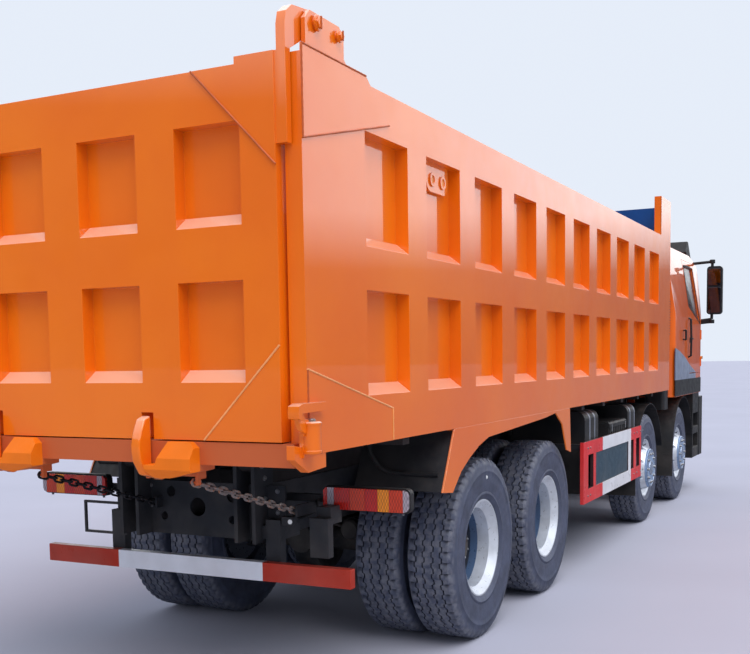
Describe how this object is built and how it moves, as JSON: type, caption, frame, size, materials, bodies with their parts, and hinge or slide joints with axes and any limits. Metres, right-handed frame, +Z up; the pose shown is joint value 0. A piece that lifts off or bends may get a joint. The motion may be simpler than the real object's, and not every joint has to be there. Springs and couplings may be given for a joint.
{
  "type": "dump truck",
  "caption": "Heavy rigid tipper with a tall ribbed steel load bed, swinging tailgate, front hoist, forward-control cab and twin-tyred rear bogie.",
  "frame": {"origin": "on the ground, under the middle of the overall box", "axes": "+X to the cab's front, +Y to the driver's left, +Z up"},
  "size_m": [10.55, 2.96, 3.374],
  "materials": {
    "bed_paint": "gloss enamel",
    "cab_paint": "gloss enamel",
    "chassis_paint": "satin chassis black",
    "stripe_paint": "red enamel with a white middle",
    "red_lens": "moulded lens",
    "tank_metal": "satin",
    "dark_plastic": "grained",
    "bumper_paint": "gloss enamel",
    "clear_lens": "clear lens",
    "window_glass": "tinted",
    "cab_lining": "grained",
    "chain_steel": "worn galvanised",
    "rim_paint": "silver paint",
    "tyre_rubber": "moulded rubber",
    "hoist_chrome": "ground and plated"
  },
  "bodies": {
    "chassis": {"frame_rails": "chassis_paint", "crossmembers": "chassis_paint", "axles": "chassis_paint", "leaf_springs": "chassis_paint", "powertrain": "chassis_paint", "underrun_bar": "stripe_paint", "rear_brackets": "chassis_paint", "rear_lamps": "red_lens", "side_guards": "stripe_paint", "fuel_tank": "tank_metal", "side_boxes": "dark_plastic", "air_intake": "dark_plastic", "wheel_arches": "dark_plastic", "cab_steps": "dark_plastic", "front_bumper": "bumper_paint", "headlamps": "clear_lens", "cab_shell": "cab_paint", "cab_glass": "window_glass", "cab_interior": "cab_lining", "mirrors": "dark_plastic", "cab_trim": "dark_plastic", "lock_chains": "chain_steel"},
    "bed": {"bed_side_left": "bed_paint", "bed_side_right": "bed_paint", "bed_floor": "bed_paint", "headboard": "bed_paint", "bed_fenders": "bed_paint", "mudflaps": "dark_plastic"},
    "tailgate": {"tailgate": "bed_paint"},
    "gate_hook_left": {"gate_hook_left": "bed_paint"},
    "gate_hook_right": {"gate_hook_right": "bed_paint"},
    "door_left": {"door_left": "cab_paint", "door_glass_left": "window_glass"},
    "door_right": {"door_right": "cab_paint", "door_glass_right": "window_glass"},
    "knuckle_1_left": {"knuckle_1_left": "chassis_paint"},
    "wheel_1_left": {"tyre_1_left": "tyre_rubber", "rim_1_left": "rim_paint"},
    "knuckle_1_right": {"knuckle_1_right": "chassis_paint"},
    "wheel_1_right": {"tyre_1_right": "tyre_rubber", "rim_1_right": "rim_paint"},
    "knuckle_2_left": {"knuckle_2_left": "chassis_paint"},
    "wheel_2_left": {"tyre_2_left": "tyre_rubber", "rim_2_left": "rim_paint"},
    "knuckle_2_right": {"knuckle_2_right": "chassis_paint"},
    "wheel_2_right": {"tyre_2_right": "tyre_rubber", "rim_2_right": "rim_paint"},
    "wheels_3_left": {"tyres_3_left": "tyre_rubber", "rims_3_left": "rim_paint"},
    "wheels_3_right": {"tyres_3_right": "tyre_rubber", "rims_3_right": "rim_paint"},
    "wheels_4_left": {"tyres_4_left": "tyre_rubber", "rims_4_left": "rim_paint"},
    "wheels_4_right": {"tyres_4_right": "tyre_rubber", "rims_4_right": "rim_paint"},
    "hoist_cover": {"hoist_cover": "chassis_paint"},
    "hoist_stage_1": {"hoist_stage_1": "hoist_chrome"},
    "hoist_stage_2": {"hoist_stage_2": "hoist_chrome"},
    "hoist_stage_3": {"hoist_stage_3": "hoist_chrome"},
    "hoist_stage_4": {"hoist_stage_4": "hoist_chrome"}
  },
  "joints": [
    {"name": "bed_tip", "type": "hinge", "parent": "chassis", "child": "bed", "pos_m": [-4.275, 0, 1.215], "axis": [0, -1, 0], "range_deg": [0, 45], "deforming": ["lock_chains"]},
    {"name": "tailgate_swing", "type": "hinge", "parent": "bed", "child": "tailgate", "pos_m": [-4.98, 0, 3.124], "axis": [0, 1, 0], "range_deg": [0, 60]},
    {"name": "hook_left_turn", "type": "hinge", "parent": "bed", "child": "gate_hook_left", "pos_m": [-5.111, 0.455, 1.25], "axis": [0, -1, 0], "range_deg": [0, 91]},
    {"name": "hook_right_turn", "type": "hinge", "parent": "bed", "child": "gate_hook_right", "pos_m": [-5.111, -0.455, 1.25], "axis": [0, -1, 0], "range_deg": [0, 91]},
    {"name": "door_left_swing", "type": "hinge", "parent": "chassis", "child": "door_left", "pos_m": [4.852, 1.239, 2], "axis": [0, 0, -1], "range_deg": [0, 72]},
    {"name": "door_right_swing", "type": "hinge", "parent": "chassis", "child": "door_right", "pos_m": [4.852, -1.239, 2], "axis": [0, 0, 1], "range_deg": [0, 72]},
    {"name": "steer_1_left", "type": "hinge", "parent": "chassis", "child": "knuckle_1_left", "pos_m": [3.775, 0.85, 0.561], "axis": [0, 0, 1], "range_deg": [-35, 35]},
    {"name": "spin_1_left", "type": "hinge", "parent": "knuckle_1_left", "child": "wheel_1_left", "pos_m": [3.775, 1.02, 0.561], "axis": [0, 1, 0], "continuous": true},
    {"name": "steer_1_right", "type": "hinge", "parent": "chassis", "child": "knuckle_1_right", "pos_m": [3.775, -0.85, 0.561], "axis": [0, 0, 1], "range_deg": [-35.1, 35.1]},
    {"name": "spin_1_right", "type": "hinge", "parent": "knuckle_1_right", "child": "wheel_1_right", "pos_m": [3.775, -1.02, 0.561], "axis": [0, 1, 0], "continuous": true},
    {"name": "steer_2_left", "type": "hinge", "parent": "chassis", "child": "knuckle_2_left", "pos_m": [1.975, 0.85, 0.561], "axis": [0, 0, 1], "range_deg": [-25.4, 25.4]},
    {"name": "spin_2_left", "type": "hinge", "parent": "knuckle_2_left", "child": "wheel_2_left", "pos_m": [1.975, 1.02, 0.561], "axis": [0, 1, 0], "continuous": true},
    {"name": "steer_2_right", "type": "hinge", "parent": "chassis", "child": "knuckle_2_right", "pos_m": [1.975, -0.85, 0.561], "axis": [0, 0, 1], "range_deg": [-25.4, 25.4]},
    {"name": "spin_2_right", "type": "hinge", "parent": "knuckle_2_right", "child": "wheel_2_right", "pos_m": [1.975, -1.02, 0.561], "axis": [0, 1, 0], "continuous": true},
    {"name": "spin_3_left", "type": "hinge", "parent": "chassis", "child": "wheels_3_left", "pos_m": [-1.525, 0.862, 0.561], "axis": [0, 1, 0], "continuous": true},
    {"name": "spin_3_right", "type": "hinge", "parent": "chassis", "child": "wheels_3_right", "pos_m": [-1.525, -0.862, 0.561], "axis": [0, 1, 0], "continuous": true},
    {"name": "spin_4_left", "type": "hinge", "parent": "chassis", "child": "wheels_4_left", "pos_m": [-2.875, 0.862, 0.561], "axis": [0, 1, 0], "continuous": true},
    {"name": "spin_4_right", "type": "hinge", "parent": "chassis", "child": "wheels_4_right", "pos_m": [-2.875, -0.862, 0.561], "axis": [0, 1, 0], "continuous": true},
    {"name": "hoist_pivot", "type": "hinge", "parent": "bed", "child": "hoist_cover", "pos_m": [2.915, 0, 1.5], "axis": [0, 1, 0], "range_deg": [0, 22.7]},
    {"name": "hoist_stage_1_slide", "type": "slide", "parent": "hoist_cover", "child": "hoist_stage_1", "axis": [0, 0, -1], "range_m": [0, 1.3669]},
    {"name": "hoist_stage_2_slide", "type": "slide", "parent": "hoist_stage_1", "child": "hoist_stage_2", "axis": [0, 0, -1], "range_m": [0, 1.3669]},
    {"name": "hoist_stage_3_slide", "type": "slide", "parent": "hoist_stage_2", "child": "hoist_stage_3", "axis": [0, 0, -1], "range_m": [0, 1.3669]},
    {"name": "hoist_stage_4_slide", "type": "slide", "parent": "hoist_stage_3", "child": "hoist_stage_4", "axis": [0, 0, -1], "range_m": [0, 1.3669]}
  ],
  "couplings": [
    {"joint": "hook_left_turn", "follows": "tailgate_swing", "ratio": 1.5},
    {"joint": "hook_right_turn", "follows": "tailgate_swing", "ratio": 1.5},
    {"joint": "steer_1_right", "follows": "steer_1_left", "ratio": 1},
    {"joint": "steer_2_left", "follows": "steer_1_left", "ratio": 0.72},
    {"joint": "steer_2_right", "follows": "steer_1_left", "ratio": 0.72},
    {"joint": "hoist_pivot", "follows": "bed_tip", "ratio": 0.5},
    {"joint": "hoist_stage_1_slide", "follows": "bed_tip", "m_per_rad": 1.7378},
    {"joint": "hoist_stage_2_slide", "follows": "bed_tip", "m_per_rad": 1.7378},
    {"joint": "hoist_stage_3_slide", "follows": "bed_tip", "m_per_rad": 1.7378},
    {"joint": "hoist_stage_4_slide", "follows": "bed_tip", "m_per_rad": 1.7378}
  ]
}
